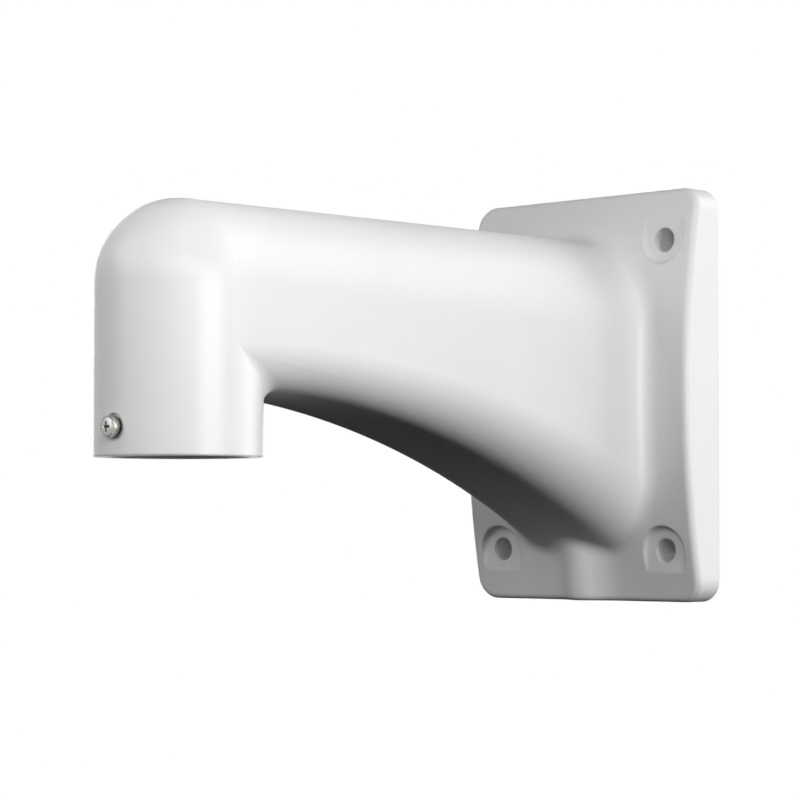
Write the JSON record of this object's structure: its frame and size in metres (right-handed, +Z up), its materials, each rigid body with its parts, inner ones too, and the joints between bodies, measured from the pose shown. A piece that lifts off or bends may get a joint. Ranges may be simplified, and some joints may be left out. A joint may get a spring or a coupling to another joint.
{
  "type": "camera wall bracket",
  "caption": "White die-cast gooseneck wall bracket for a dome camera, with a wall plate, a hollow flared arm and a threaded pipe socket.",
  "frame": {"origin": "on the wall plane, in the middle of the four wall screw holes", "axes": "+Z up, +Y into the wall, so the arm reaches out along -Y and +X is to the right for someone who faces the wall"},
  "size_m": [0.1186, 0.2665, 0.165],
  "materials": {
    "white_paint": "satin",
    "screw_steel": "satin"
  },
  "bodies": {
    "root": {"bracket_body": "white_paint", "lock_screw": "screw_steel"}
  },
  "joints": []
}
